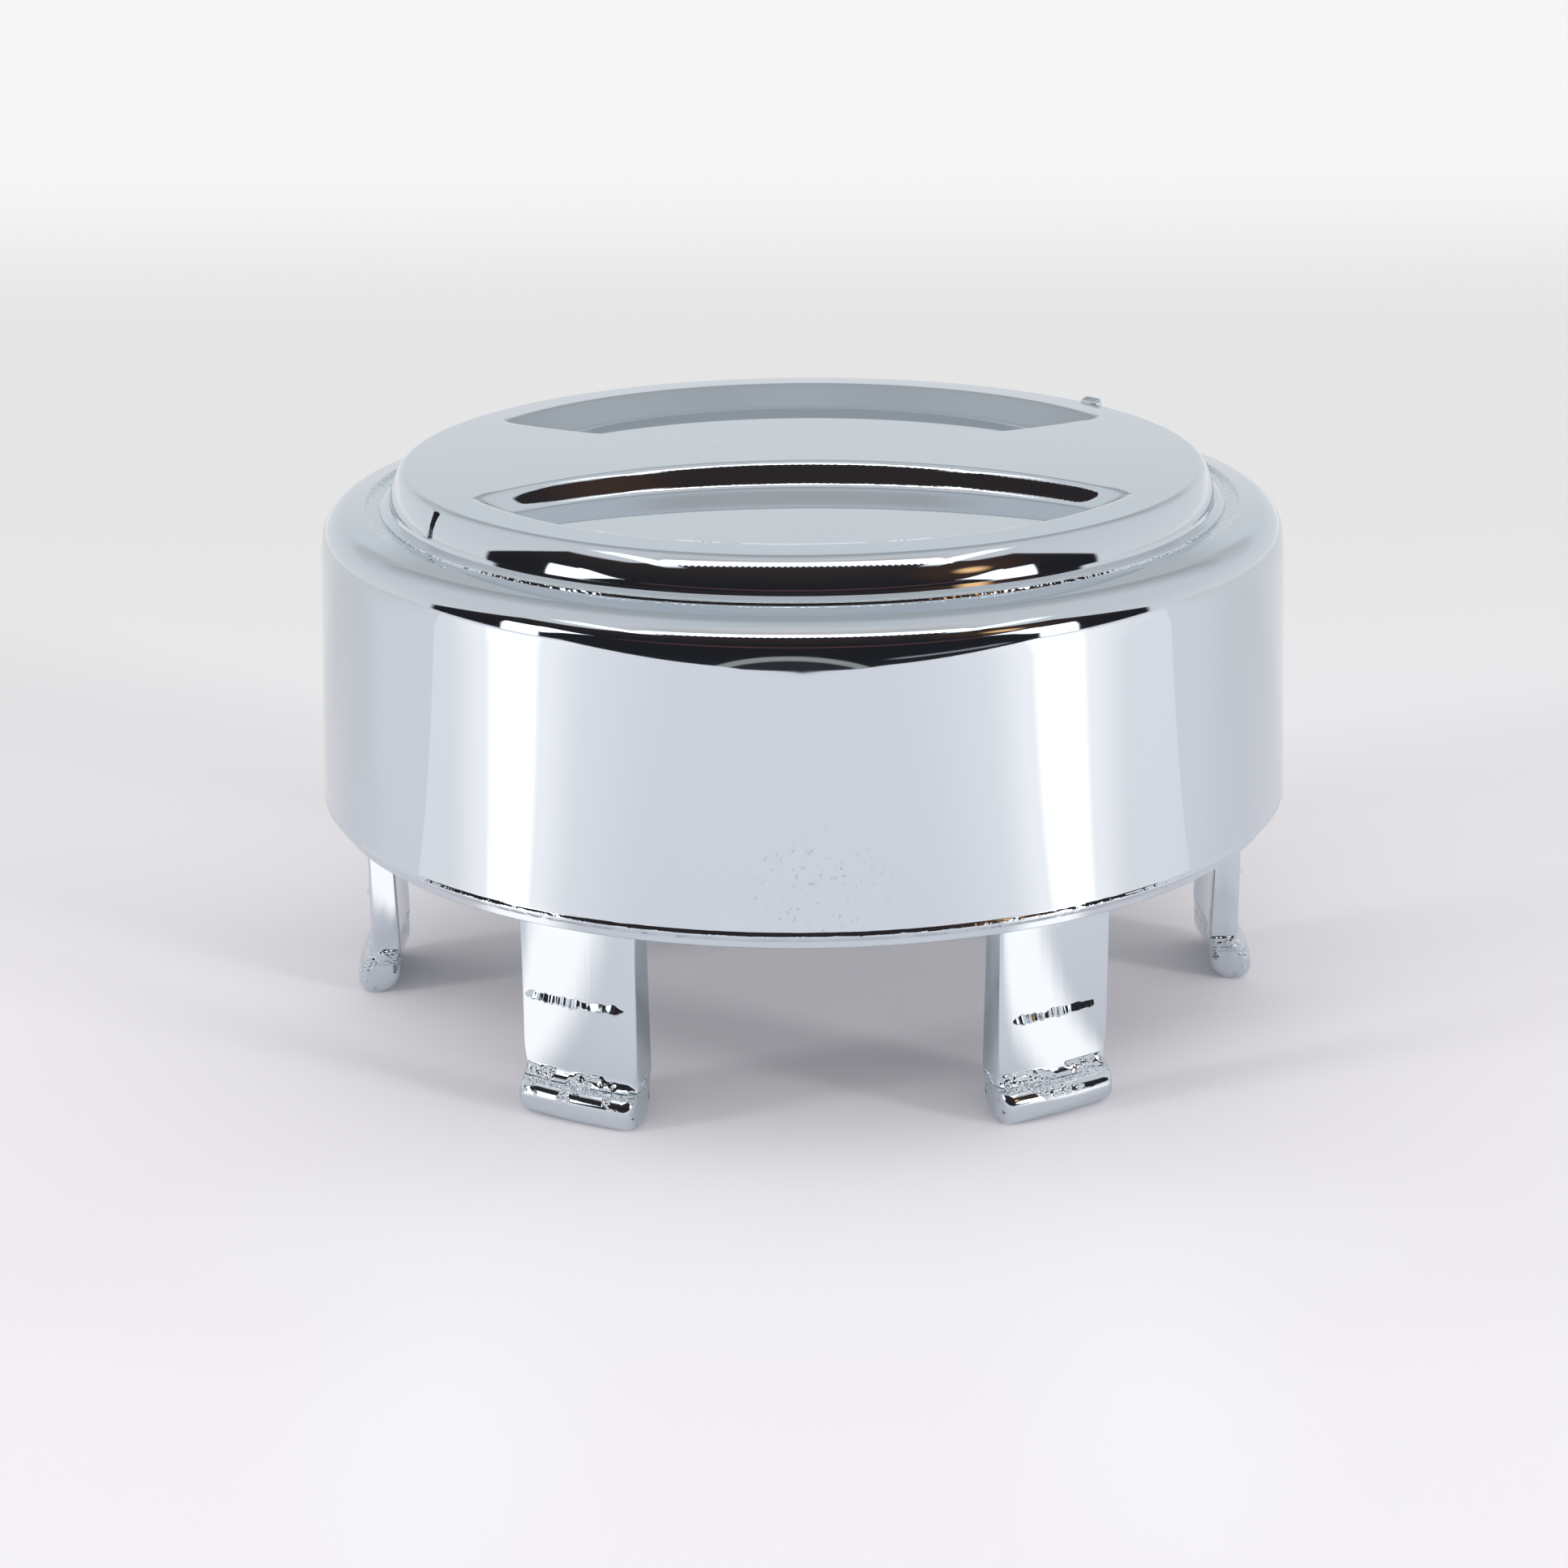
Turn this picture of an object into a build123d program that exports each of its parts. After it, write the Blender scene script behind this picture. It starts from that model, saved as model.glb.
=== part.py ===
from build123d import *
from math import cos, radians, sin, tan
import os

# A snap-in wheel centre cap, moulded in one piece and bright plated: a drafted cup
# with a raised round face, standing on the six clip legs that grip the hub bore.
# Millimetres, +Z up along the cap's axis, origin on the floor under its middle.
# Heights are measured up from the skirt's lower edge unless they say otherwise.

# Skirt
skirt_radius = 50.0            # at the parting line, the widest place
parting_height = 1.45
lip_step = 0.6                 # the ledge under the parting line
lip_step_fall = 0.15
lip_inset = 1.0                # the lower edge lies this far inside the parting line
lip_land = 1.6                 # flat lower edge that seats on the wheel
skirt_height = 26.6            # where the straight wall ends
skirt_draft = 2.0              # degrees, the wall leans in as it rises
bore_draft = 1.0

# Shoulder
lead_radius = 14.0             # soft turn before the shoulder proper
lead_turn = 9.0                # degrees
shoulder_radius = 2.7
shoulder_slope = 8.0           # degrees, fall of the shoulder's top towards the wall
shoulder_width = 5.5           # from the parting line in to the groove

# Groove between the shoulder and the face, with a fine bead line along its inner side
groove_depth = 0.32
groove_width = 1.4
bead_line_height = 0.36
bead_line_width = 0.2

# Raised face
face_rise = 8.4                # edge of the face's top above the straight wall
face_setback = 4.3             # from the groove in to where the face's top ends
face_crown = 0.6               # the middle stands this much above the edge
crown_flat = 4.0               # radius of the level middle of the crown
face_edge_radius = 1.0
flank_radius = 7.2             # gentle bulge of the flank
flank_top_tilt = 31.0          # degrees of the outward normal above level
flank_foot_tilt = 9.0

# Two lens-shaped pockets that leave a waisted bar across the face
pocket_depth = 1.9             # at the face's edge
dish_setback = 7.5             # from the face's edge in to the pockets' round outer side
dish_slope = 28.0              # degrees, a shallow bank up to the face
bar_side_radius = 45.0         # arc of each long side of the bar, at the floor
bar_half_waist = 5.4           # half of the bar's width at its middle, at the floor
bar_slope = 70.0               # degrees, the bar's sides are steep
pocket_corner = 2.6
pocket_foot_round = 0.9
pocket_edge_round = 1.1

# Wall of the moulding, and the ring-shaped core that keeps it even under the face's edge
wall = 2.2
ring_core_width = 3.4

# Clip legs
leg_count = 6
leg_drop = 20.75               # how far the legs reach below the skirt's lower edge
leg_turn = 1.63                # degrees, the pattern's turn about the axis
leg_width = 12.7
leg_clearance = 1.5            # leg face to the skirt's inside
leg_thickness = 2.5
tip_swell = 0.45               # the leg grows this much thicker inwards at its tip
hook_reach = 1.5               # how far the rounded hook along the tip stands out
hook_crest = 2.8               # height above the tip where its slope would end unrounded
hook_slope = 45.0              # degrees, the slope that snaps over the bore's edge
hook_foot_round = 1.8
hook_round = 2.4
tip_round = 1.5
heel_round = 2.7

# Webs that tie each leg to the skirt, and the gusset behind it, down from the shoulder
web_thickness = 1.4
web_spacing = 7.6
web_height = 14.0
gusset_thickness = 1.8
gusset_reach = 3.6
gusset_height = 19.0

# Margins of the modelling itself
joint_overlap = 0.4            # ribs run this far into what they join
cut_margin = 1.0               # cuts run this far past what they cut
level_change = 1.0             # an edge that climbs less than this counts as level

groove_radius = skirt_radius - shoulder_width
face_radius = groove_radius - face_setback
face_height = skirt_height + face_rise
crown_height = face_height + face_crown
pocket_floor = face_height - pocket_depth
dish_radius = face_radius - dish_setback
bar_side_centre = bar_side_radius + bar_half_waist
lip_radius = skirt_radius - lip_inset
bore_radius = lip_radius - lip_land
leg_face_radius = bore_radius - leg_clearance
leg_inner_radius = leg_face_radius - leg_thickness
face_ceiling = pocket_floor - wall
core_ceiling = face_height - wall
ring_core_outer = face_radius - wall / 2
ring_core_inner = ring_core_outer - ring_core_width


def arc_to(start, radius, tilt_a, tilt_b):
    """Middle and end of an arc from start, whose normal turns from tilt_a to tilt_b degrees."""
    mid_tilt = (tilt_a + tilt_b) / 2
    centre_x = start[0] - radius * cos(radians(tilt_a))
    centre_z = start[1] - radius * sin(radians(tilt_a))
    return [
        (centre_x + radius * cos(radians(tilt)), centre_z + radius * sin(radians(tilt)))
        for tilt in (mid_tilt, tilt_b)
    ]


def bore_inside(height):
    """Radius of the skirt's drafted inside at a height."""
    return bore_radius - height * tan(radians(bore_draft))


def skirt_lines():
    """Outside of the cup from its lower edge to the groove, and the shoulder's top height."""
    parting = (skirt_radius, parting_height)
    ledge = (skirt_radius - lip_step, parting_height - lip_step_fall)
    wall_run = skirt_height - parting_height
    wall_top = (skirt_radius - wall_run * tan(radians(skirt_draft)), skirt_height)
    shoulder_tilt = skirt_draft + lead_turn
    lead_mid, lead_end = arc_to(wall_top, lead_radius, skirt_draft, shoulder_tilt)
    round_mid, round_end = arc_to(lead_end, shoulder_radius, shoulder_tilt, 90 - shoulder_slope)
    rise = (round_end[0] - groove_radius) * tan(radians(shoulder_slope))
    shoulder_end = (groove_radius, round_end[1] + rise)
    lines = [
        Line((lip_radius, 0), ledge),
        Line(ledge, parting),
        Line(parting, wall_top),
        ThreePointArc(wall_top, lead_mid, lead_end),
        ThreePointArc(lead_end, round_mid, round_end),
        Line(round_end, shoulder_end),
    ]
    return lines, shoulder_end[1]


def face_lines(shoulder_top):
    """Outside of the cup from the groove to the axis."""
    face_edge = (face_radius, face_height)
    edge_mid, edge_end = arc_to(face_edge, face_edge_radius, 90, flank_top_tilt)
    flank_mid, flank_end = arc_to(edge_end, flank_radius, flank_top_tilt, flank_foot_tilt)
    groove_floor = shoulder_top - groove_depth
    bead_foot = (flank_end[0], flank_end[1] - bead_line_height)
    groove = Polyline(
        (groove_radius, shoulder_top),
        (groove_radius - groove_depth / 2, groove_floor),
        (groove_radius - groove_width, groove_floor),
        (bead_foot[0] + bead_line_width, bead_foot[1]),
        bead_foot,
        flank_end,
    )
    return groove.edges() + [
        ThreePointArc(flank_end, flank_mid, edge_end),
        ThreePointArc(edge_end, edge_mid, face_edge),
        TangentArc((crown_flat, crown_height), face_edge, tangent=(1, 0)),
        Line((crown_flat, crown_height), (0, crown_height)),
    ]


def cup():
    """The skirt, shoulder and face turned about the axis, and the height of its ceiling."""
    outside, shoulder_top = skirt_lines()
    outside += face_lines(shoulder_top)
    ceiling = shoulder_top - wall
    inside = Polyline(
        (0, crown_height),
        (0, face_ceiling),
        (ring_core_inner, face_ceiling),
        (ring_core_inner, core_ceiling),
        (ring_core_outer, core_ceiling),
        (ring_core_outer, ceiling),
        (bore_inside(ceiling), ceiling),
        (bore_radius, 0),
        (lip_radius, 0),
    )
    section = Plane.XZ * make_face(Wire(outside + inside.edges()))
    return revolve(section, Axis.Z), ceiling


def pocket():
    """The front pocket: a round dish, cut off by the bar's concave side."""
    depth = crown_height + cut_margin - pocket_floor
    middle = Pos(0, 0, pocket_floor + depth / 2)
    dish_top = dish_radius + depth / tan(radians(dish_slope))
    side_top = bar_side_radius + depth / tan(radians(bar_slope))
    dish = middle * Cone(dish_radius, dish_top, depth)
    bar_side = Pos(0, -bar_side_centre, 0) * middle * Cone(bar_side_radius, side_top, depth)
    lens = dish & bar_side
    corners = [e for e in lens.edges() if abs((e @ 0).Z - (e @ 1).Z) > depth / 2]
    lens = fillet(corners, pocket_corner)
    return fillet(lens.edges().group_by(Axis.Z)[0], pocket_foot_round)


def pocket_rims(body):
    """The edges where the two pockets meet the crowned face."""
    return [
        e for e in body.edges()
        if (e @ 0.5).Z > (pocket_floor + face_height) / 2
        and abs((e @ 0.25).Z - (e @ 0.75).Z) < level_change
        and crown_flat < Vector((e @ 0.5).X, (e @ 0.5).Y).length < face_radius - cut_margin
    ]


def bar_core():
    """Hollow under the bar, parallel to its sides, that opens to the underside."""
    outline = Circle(ring_core_inner + joint_overlap)
    for side in (-1, 1):
        outline -= Pos(0, side * bar_side_centre) * Circle(bar_side_radius + wall)
    return Pos(0, 0, face_ceiling) * extrude(outline, core_ceiling - face_ceiling)


def leg_ring(ceiling):
    """The legs' section turned about the axis, which each leg is cut from."""
    tip = -leg_drop
    tip_inner = leg_inner_radius - tip_swell
    crest = leg_face_radius + hook_reach
    top = ceiling + joint_overlap
    hook_foot = tip + hook_crest + hook_reach * tan(radians(hook_slope))
    rounds = {
        (leg_face_radius, hook_foot): hook_foot_round,
        (crest, tip + hook_crest): hook_round,
        (crest, tip): tip_round,
        (tip_inner, tip): heel_round,
    }
    face = make_face(Polyline(
        (leg_inner_radius, top),
        (leg_face_radius, top),
        *rounds,
        (tip_inner, tip + 2 * heel_round),
        (leg_inner_radius, 0),
        close=True,
    ))
    for corner, radius in rounds.items():
        nearest = face.vertices().sort_by_distance(Vector(*corner))[0]
        face = fillet(nearest, radius)
    return revolve(Plane.XZ * face, Axis.Z)


def webs(ceiling):
    """The pair of webs between a leg and the skirt."""
    reach = bore_inside(ceiling) - leg_face_radius + 2 * joint_overlap
    middle_y = leg_face_radius - joint_overlap + reach / 2
    middle_z = ceiling + joint_overlap - web_height / 2
    return [
        Pos(side * web_spacing / 2, -middle_y, middle_z) * Box(web_thickness, reach, web_height)
        for side in (-1, 1)
    ]


def gusset(ceiling):
    """The triangular rib behind a leg."""
    root = leg_inner_radius + joint_overlap
    top = ceiling + joint_overlap
    outline = Polyline(
        (-root, top - gusset_height),
        (-(leg_inner_radius - gusset_reach), top),
        (-root, top),
        close=True,
    )
    return extrude(Plane.YZ * make_face(outline), gusset_thickness / 2, both=True)


def leg(ceiling):
    """One clip leg with its webs and gusset, on the -Y side."""
    length = ceiling + joint_overlap + leg_drop
    depth = skirt_radius
    slab = Pos(0, -depth / 2, length / 2 - leg_drop) * Box(leg_width, depth, length + cut_margin)
    return (leg_ring(ceiling) & slab) + webs(ceiling) + gusset(ceiling)


def cap():
    """The whole moulding, raised so that its legs stand on the floor."""
    body, ceiling = cup()
    front = pocket()
    body -= front
    body -= mirror(front, Plane.XZ)
    body = fillet(pocket_rims(body), pocket_edge_round)
    body -= bar_core()
    clip = leg(ceiling)
    step = 360 / leg_count
    for i in range(leg_count):
        body += Rot(0, 0, leg_turn + step / 2 + i * step) * clip
    return Pos(0, 0, leg_drop) * body


os.makedirs("parts", exist_ok=True)
piece = cap()
solids = piece.solids()
print("solids", len(solids), "volume", round(piece.volume), "valid", piece.is_valid)
export_step(solids[0] if len(solids) == 1 else piece, "parts/cap.step")
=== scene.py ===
import math
import bpy
import bmesh
from mathutils import Matrix, Vector, noise


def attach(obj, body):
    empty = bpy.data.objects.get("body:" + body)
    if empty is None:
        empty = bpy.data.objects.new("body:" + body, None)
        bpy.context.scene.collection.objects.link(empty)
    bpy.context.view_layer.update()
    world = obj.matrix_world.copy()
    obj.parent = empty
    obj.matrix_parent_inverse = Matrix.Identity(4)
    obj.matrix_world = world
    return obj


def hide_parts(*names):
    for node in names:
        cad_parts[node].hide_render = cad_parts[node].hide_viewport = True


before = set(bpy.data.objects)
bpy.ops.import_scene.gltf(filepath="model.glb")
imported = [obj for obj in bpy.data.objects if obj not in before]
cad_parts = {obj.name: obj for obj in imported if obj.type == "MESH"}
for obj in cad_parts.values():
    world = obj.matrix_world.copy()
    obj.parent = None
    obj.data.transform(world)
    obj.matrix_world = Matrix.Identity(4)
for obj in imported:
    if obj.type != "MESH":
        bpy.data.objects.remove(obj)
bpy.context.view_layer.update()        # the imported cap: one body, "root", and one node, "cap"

# A bright-plated wheel centre cap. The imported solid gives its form; here the same form is made
# again with a fine, even skin, because plating shows every facet, and gets its moulding marks.
# Sizes are in millimetres in these lists and turned to metres where a mesh is made.

MM = 0.001
TURN = 368               # steps round the cup, fine enough that no facet shows in the plating
FACE_ROWS = 100          # rows of points from the face's middle to its rim, front and back alike

# Sizes of the cap, the same as the source's. Heights are over the skirt's lower edge.
LIP_Z = 20.75            # the skirt's lower edge above the floor
PARTING = (50.0, 1.45)
LEDGE = (49.4, 1.3)
LIP_RADIUS = 49.0
BORE_RADIUS, BORE_LEAD = 47.4, 0.6       # the bore, and how high its draft starts
BORE_DRAFT = 1.0
SKIRT_DRAFT = 2.0
SKIRT_HEIGHT = 26.6
LEAD_RADIUS, LEAD_TURN = 14.0, 9.0
SHOULDER_RADIUS, SHOULDER_SLOPE = 2.7, 8.0
GROOVE_RADIUS, GROOVE_DEPTH, GROOVE_WIDTH = 44.5, 0.32, 1.4
BEAD_LINE_HEIGHT, BEAD_LINE_WIDTH = 0.36, 0.2
FACE_RADIUS, FACE_HEIGHT = 40.2, 35.0
FACE_CROWN, CROWN_FLAT = 0.6, 4.0
FACE_EDGE_RADIUS, FLANK_RADIUS = 1.0, 7.2
FLANK_TOP_TILT, FLANK_FOOT_TILT = 31.0, 9.0
POCKET_FLOOR = 33.1
DISH_RADIUS, DISH_SLOPE = 32.7, 28.0
BAR_SIDE_RADIUS, BAR_HALF_WAIST, BAR_SLOPE = 45.0, 5.4, 70.0
CORNER_SOFT = 1.5                        # rounds of the pockets: where bank and bar side meet,
FOOT_SOFT, BAR_FOOT_MORE = 0.12, 0.43    # at a bank's foot, and how much more at the bar's,
RIM_SOFT, BAR_RIM_MORE = 0.14, 0.5       # and the same at their rims
WALL = 2.2
CORE_OUTER, CORE_INNER = 39.1, 35.7
CEILING_MIDDLE = 4.0     # radius of the last ring of points in the middle of the ceiling
LEG_ANGLES = [31.63 + 60 * i for i in range(6)]
LEG_WIDTH = 12.7
LEG_FACE, LEG_INNER = 45.9, 43.4
TIP_INNER = 42.95
HOOK_CREST, HOOK_HEIGHT, HOOK_CREST_Z = 47.4, 4.3, 2.8


def linear(hex_colour):
    """An sRGB hex colour as linear red, green, blue and full alpha."""
    parts = [int(hex_colour[i:i + 2], 16) / 255 for i in (1, 3, 5)]
    return [c / 12.92 if c <= 0.04045 else ((c + 0.055) / 1.055) ** 2.4 for c in parts] + [1.0]


def put(tree, kind, feeds=(), output=0, **settings):
    """Adds one shader node and gives one of its outputs, or all of them where output is None.

    Settings are the node's own. Feeds go to its sockets, in order or by name, and each is a
    value or another node's output.
    """
    node = tree.nodes.new("ShaderNode" + kind)
    for name, value in settings.items():
        setattr(node, name, value)
    for socket, value in feeds.items() if isinstance(feeds, dict) else enumerate(feeds):
        if isinstance(value, bpy.types.NodeSocket):
            tree.links.new(value, node.inputs[socket])
        else:
            node.inputs[socket].default_value = value
    return node.outputs if output is None else node.outputs[output]


SMOOTH = {"interpolation_type": "SMOOTHSTEP"}    # a map range that starts and ends softly


def band(tree, value, low, high, soft):
    """One between low and high, fading to nothing over the soft distance outside them."""
    rising = put(tree, "MapRange", (value, low - soft, low), **SMOOTH)
    falling = put(tree, "MapRange", (value, high, high + soft, 1.0, 0.0), **SMOOTH)
    return put(tree, "Math", (rising, falling), operation="MULTIPLY")


def laid_over(tree, base, *layers):
    """The base colour with each layer, a share and a colour, laid over it in turn."""
    for share, colour in layers:
        base = put(tree, "Mix", {0: share, 6: base, 7: colour}, 2, data_type="RGBA")
    return base


def out_from(tree, place, centre, reach):
    """How far a place lies from a centre, where 1 is the edge of a patch with these reaches."""
    away = put(tree, "VectorMath", (place, centre), operation="SUBTRACT")
    away = put(tree, "VectorMath", (away, [1 / r for r in reach]), operation="MULTIPLY")
    return put(tree, "VectorMath", (away,), "Value", operation="LENGTH")


def bearing_of(tree, sideways, forward):
    """Which way a spot lies, in degrees from straight ahead."""
    bearing = put(tree, "Math", (sideways, forward), operation="ARCTAN2")
    return put(tree, "Math", (bearing,), operation="DEGREES")


def direction(tree, centre):
    """Where a spot of the studio lies from a centre: its bearing from straight ahead and its
    rise over level, both in degrees, and the parts of the unit ray to it."""
    spot = put(tree, "NewGeometry", output="Position")
    ray = put(tree, "VectorMath", (spot, centre), operation="SUBTRACT")
    ray = put(tree, "VectorMath", (ray,), operation="NORMALIZE")
    sideways, back, upward = put(tree, "SeparateXYZ", (ray,), None)
    forward = put(tree, "Math", (back, -1.0), operation="MULTIPLY")
    rise = put(tree, "Math", (upward,), operation="ARCSINE")
    rise = put(tree, "Math", (rise,), operation="DEGREES")
    return bearing_of(tree, sideways, forward), rise, (sideways, forward, upward)


# Camera, fitted to the photograph: a long lens, about 18 degrees above level
CAMERA_AT = (0.0, -0.34042, 0.133)
LOOK_DOWN, PAN, TIP, ROLL = map(math.radians, (18.249, 0.3284, -0.0331, -0.363))
camera_data = bpy.data.cameras.new("camera")
camera_data.sensor_width = 36.0
camera_data.lens = 78.098
camera_data.clip_start = 0.01
camera_data.clip_end = 50.0
camera = bpy.data.objects.new("camera", camera_data)
bpy.context.scene.collection.objects.link(camera)
bpy.context.scene.camera = camera
aim = Vector((0, math.cos(LOOK_DOWN), -math.sin(LOOK_DOWN)))
side = Vector((1, 0, 0))
top = Vector((0, math.sin(LOOK_DOWN), math.cos(LOOK_DOWN)))
side, aim = side * math.cos(PAN) + aim * math.sin(PAN), aim * math.cos(PAN) - side * math.sin(PAN)
top, aim = top * math.cos(TIP) - aim * math.sin(TIP), top * math.sin(TIP) + aim * math.cos(TIP)
side, top = (side * math.cos(ROLL) + top * math.sin(ROLL),
             top * math.cos(ROLL) - side * math.sin(ROLL))
turned = Matrix((side, top, -aim)).transposed().to_4x4()
camera.matrix_world = Matrix.Translation(CAMERA_AT) @ turned


# Outlines
HOLD, LEAST_HOLD = 0.04, 0.01


def arc_from(start, radius, tilt_a, tilt_b, steps):
    """Points after start on an arc whose normal turns from tilt_a to tilt_b degrees."""
    cx = start[0] - radius * math.cos(math.radians(tilt_a))
    cz = start[1] - radius * math.sin(math.radians(tilt_a))
    tilts = [math.radians(tilt_a + (tilt_b - tilt_a) * i / steps) for i in range(1, steps + 1)]
    return [(cx + radius * math.cos(t), cz + radius * math.sin(t)) for t in tilts]


def rounded(points, steps=4, closed=False):
    """The polyline with each (x, z, radius) corner turned to an arc. Two numbers are a plain point.

    A point held close to each end of an arc keeps the smooth shading of the flats beside it.
    """
    out = []
    count = len(points)
    for i, p in enumerate(points):
        inner = closed or 0 < i < count - 1
        if len(p) < 3 or not inner:
            out.append((p[0], p[1]))
            continue
        here = Vector(p[:2])
        back = Vector(points[i - 1][:2]) - here
        on = Vector(points[(i + 1) % count][:2]) - here
        a, b = back.normalized(), on.normalized()
        half = a.angle(b) / 2
        reach = p[2] / math.tan(half)
        centre = here + (a + b).normalized() * p[2] / math.sin(half)
        start, end = here + a * reach - centre, here + b * reach - centre
        sweep = start.angle_signed(end)
        hold = min(HOLD, 0.2 * (back.length - reach), 0.2 * (on.length - reach))
        if hold > LEAST_HOLD:
            out.append(tuple(centre + start + a * hold))
        for k in range(steps + 1):
            t = -sweep * k / steps
            spot = Vector((start.x * math.cos(t) - start.y * math.sin(t),
                           start.x * math.sin(t) + start.y * math.cos(t))) + centre
            out.append((spot.x, spot.y))
        if hold > LEAST_HOLD:
            out.append(tuple(centre + end + b * hold))
    return out


def between(a, b, fractions):
    """Points on the straight line from a to b."""
    return [(a[0] + (b[0] - a[0]) * f, a[1] + (b[1] - a[1]) * f) for f in fractions]


# The cup
def crown_z(radius):
    """Height of the crowned face over the skirt's lower edge."""
    run = FACE_RADIUS - CROWN_FLAT
    curve = (run ** 2 + FACE_CROWN ** 2) / (2 * FACE_CROWN)
    out = max(radius - CROWN_FLAT, 0.0)
    return FACE_HEIGHT + FACE_CROWN - (curve - math.sqrt(curve ** 2 - out ** 2))


def soft_max(a, b, width):
    """The larger of two numbers, with a soft round of this width where they cross."""
    h = max(width - abs(a - b), 0.0)
    return max(a, b) + h * h / (4 * width)


def eased(value, start, end):
    """Goes smoothly from nought to one as the value goes from start to end."""
    t = min(max((value - start) / (end - start), 0.0), 1.0)
    return t * t * (3 - 2 * t)


def face_z(x, y):
    """The face with its two pockets: banks and bar sides rise from a level floor with soft feet."""
    radius = math.hypot(x, y)
    crown = crown_z(radius)
    bank = (radius - DISH_RADIUS) * math.tan(math.radians(DISH_SLOPE))
    centre = BAR_SIDE_RADIUS + BAR_HALF_WAIST
    side_run = math.hypot(x, abs(y) - centre) - BAR_SIDE_RADIUS
    bar_side = side_run * math.tan(math.radians(BAR_SLOPE))
    steep = eased(bar_side - bank, -2.0, 2.0)
    sides = soft_max(bank, bar_side, CORNER_SOFT)
    pocket = POCKET_FLOOR + soft_max(sides, 0.0, FOOT_SOFT + BAR_FOOT_MORE * steep)
    return -soft_max(-crown, -pocket, RIM_SOFT + BAR_RIM_MORE * steep)


def cup_outlines():
    """The outer outline from the bore's edge to the face's edge, the inner one from the bore's edge
    to the ceiling over the core, and the height of the ceiling beside the core."""
    drop = (SKIRT_HEIGHT - PARTING[1]) * math.tan(math.radians(SKIRT_DRAFT))
    wall_top = (PARTING[0] - drop, SKIRT_HEIGHT)
    lead = arc_from(wall_top, LEAD_RADIUS, SKIRT_DRAFT, SKIRT_DRAFT + LEAD_TURN, 8)
    shoulder = arc_from(lead[-1], SHOULDER_RADIUS, SKIRT_DRAFT + LEAD_TURN,
                        90 - SHOULDER_SLOPE, 22)
    end = shoulder[-1]
    brow = end[1] + (end[0] - GROOVE_RADIUS) * math.tan(math.radians(SHOULDER_SLOPE))
    face_edge = (FACE_RADIUS, FACE_HEIGHT)
    edge = arc_from(face_edge, FACE_EDGE_RADIUS, 90, FLANK_TOP_TILT, 12)
    flank = arc_from(edge[-1], FLANK_RADIUS, FLANK_TOP_TILT, FLANK_FOOT_TILT, 14)
    foot = flank[-1]
    wall_rows = between(PARTING, wall_top, (0.01, 0.03, 0.1, 0.3, 0.5, 0.7, 0.9, 0.97, 1.0))
    lower = rounded([
        (BORE_RADIUS, BORE_LEAD),
        (BORE_RADIUS, 0.0, 0.12),
        (LIP_RADIUS, 0.0, 0.3),
        (LEDGE[0], LEDGE[1], 0.12),
        (PARTING[0], PARTING[1], 0.05),
        wall_rows[1],
    ])
    groove = rounded([
        between(end, (GROOVE_RADIUS, brow), (0.6,))[0],
        (GROOVE_RADIUS, brow, 0.1),
        (GROOVE_RADIUS - GROOVE_DEPTH / 2, brow - GROOVE_DEPTH, 0.1),
        (GROOVE_RADIUS - GROOVE_WIDTH, brow - GROOVE_DEPTH, 0.04),
        (GROOVE_RADIUS - GROOVE_WIDTH - 0.10, brow - GROOVE_DEPTH + 0.30, 0.04),
        (foot[0] + BEAD_LINE_WIDTH + 0.12, foot[1] - BEAD_LINE_HEIGHT, 0.04),
        (foot[0] + 0.12, foot[1] - BEAD_LINE_HEIGHT, 0.04),
        (foot[0], foot[1], 0.05),
        flank[-2],
    ])[:-1]
    outer = lower[:-1] + wall_rows[1:] + lead + shoulder
    outer += between(end, (GROOVE_RADIUS, brow), (0.05, 0.3)) + groove
    outer += flank[::-1][1:] + edge[::-1][1:] + [face_edge]
    ceiling = brow - WALL
    core_top = FACE_HEIGHT - WALL
    bore_top = BORE_RADIUS - ceiling * math.tan(math.radians(BORE_DRAFT))
    inner = rounded([
        (BORE_RADIUS, BORE_LEAD),
        (bore_top, ceiling, 0.5),
        (CORE_OUTER, ceiling, 0.4),
        (CORE_OUTER, core_top, 0.4),
        (CEILING_MIDDLE, core_top),
    ], 3)[1:]
    return outer, inner, ceiling


def ring_of(bm, radius, height):
    """One ring of points round the axis; the first is on -Y and they go towards +X."""
    ring = []
    for i in range(TURN):
        a = 2 * math.pi * i / TURN
        spot = Vector((radius * math.sin(a), -radius * math.cos(a), height + LIP_Z)) * MM
        ring.append(bm.verts.new(spot))
    return ring


def skin(bm, ring_a, ring_b):
    """Quads between two rings of the same count."""
    for i in range(len(ring_a)):
        j = (i + 1) % len(ring_a)
        bm.faces.new((ring_a[i], ring_a[j], ring_b[j], ring_b[i]))


# How much closer the face's rows stand on the bar's sides and on the banks, over how wide a
# strip, and how far the strip's middle lies from the side's foot.
BAR_CROWD, BAR_SPREAD, BAR_IN = 5.0, 1.1, 0.5
BANK_CROWD, BANK_SPREAD, BANK_OUT = 1.4, 2.4, 1.7


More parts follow.
